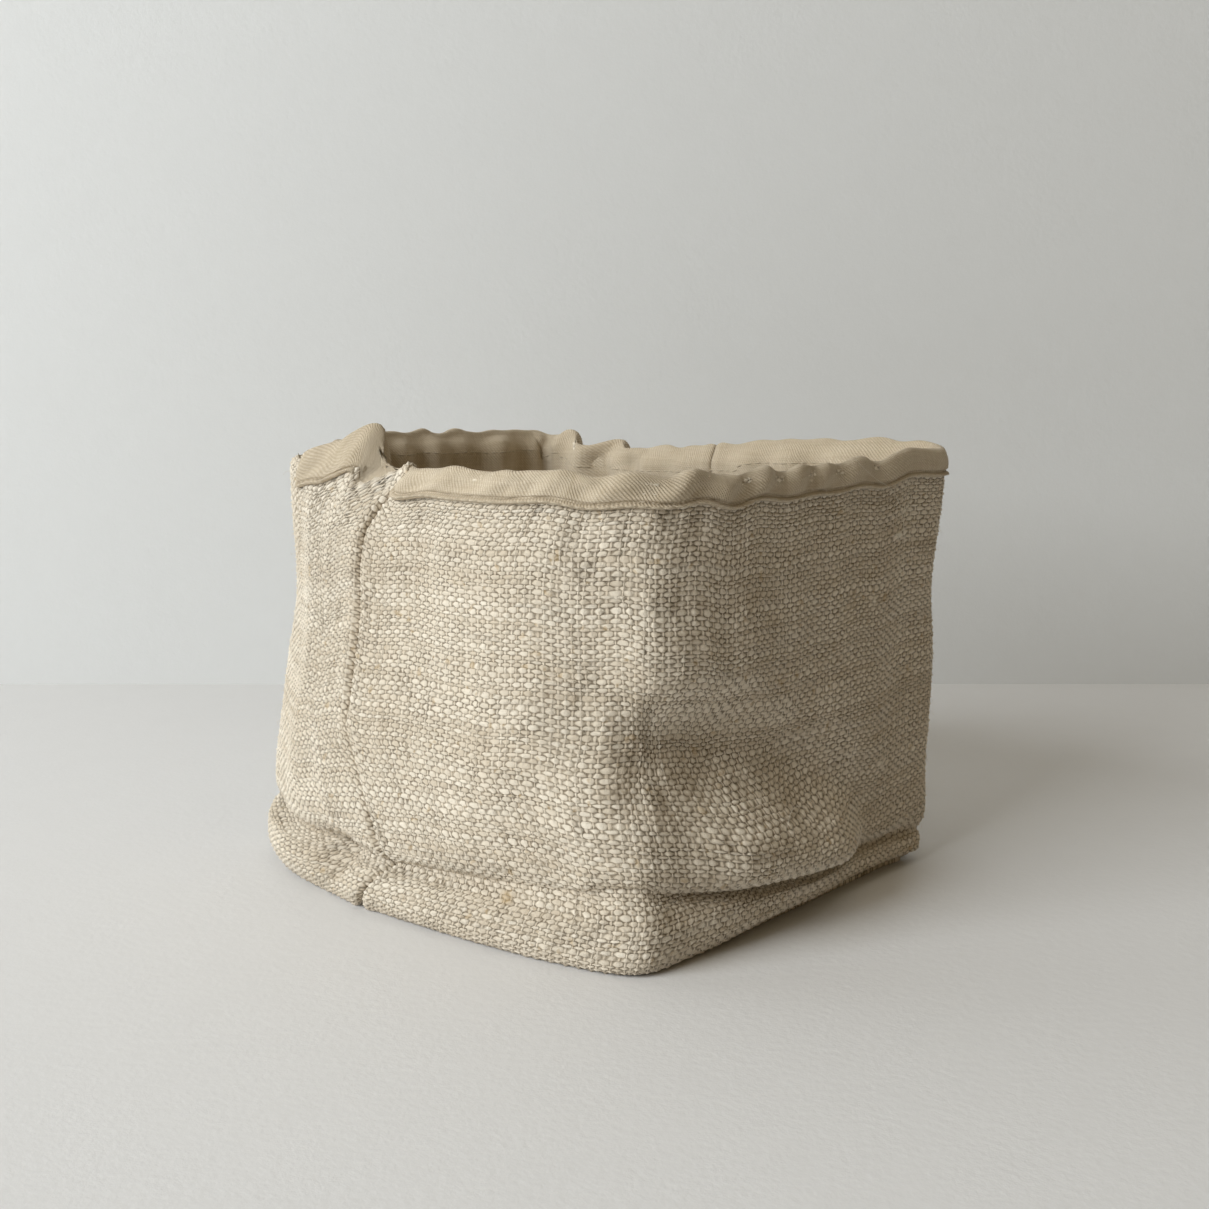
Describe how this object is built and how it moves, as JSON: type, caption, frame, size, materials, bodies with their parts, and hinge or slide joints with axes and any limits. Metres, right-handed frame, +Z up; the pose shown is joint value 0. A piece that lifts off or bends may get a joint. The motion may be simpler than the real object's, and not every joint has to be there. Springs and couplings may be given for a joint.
{
  "type": "lined cloth gift bag",
  "caption": "Squat open-topped gift bag of coarse hemp cloth with a boxed bottom, lined in fine twill that turns out over the rim as a topstitched band.",
  "frame": {"origin": "middle of the flat face that the bag rests on, where the base seam crosses the bag's centre plane", "axes": "+Z up, -Y out of the front panel, +X to the right seen from the front, Y along the sewn side faces"},
  "size_m": [0.1402, 0.1546, 0.1153],
  "materials": {
    "hemp_cloth": "coarse slubby plain weave, undyed, matt",
    "twill_lining": "fine diagonal twill, matt",
    "topstitch_thread": "twisted sewing thread, slight sheen",
    "seam_thread": "twisted sewing thread, matt"
  },
  "bodies": {
    "root": {"outer_front_panel": "hemp_cloth", "outer_back_panel": "hemp_cloth", "lining_front_panel": "twill_lining", "lining_back_panel": "twill_lining", "rim_needle_thread": "topstitch_thread", "rim_bobbin_thread": "topstitch_thread", "outer_side_seam_left": "seam_thread", "outer_side_seam_right": "seam_thread", "outer_base_seam": "seam_thread", "outer_corner_seam_left": "seam_thread", "outer_corner_seam_right": "seam_thread", "lining_side_seam_left": "seam_thread", "lining_side_seam_right": "seam_thread", "lining_base_seam": "seam_thread", "lining_corner_seam_left": "seam_thread", "lining_corner_seam_right": "seam_thread"}
  },
  "joints": []
}
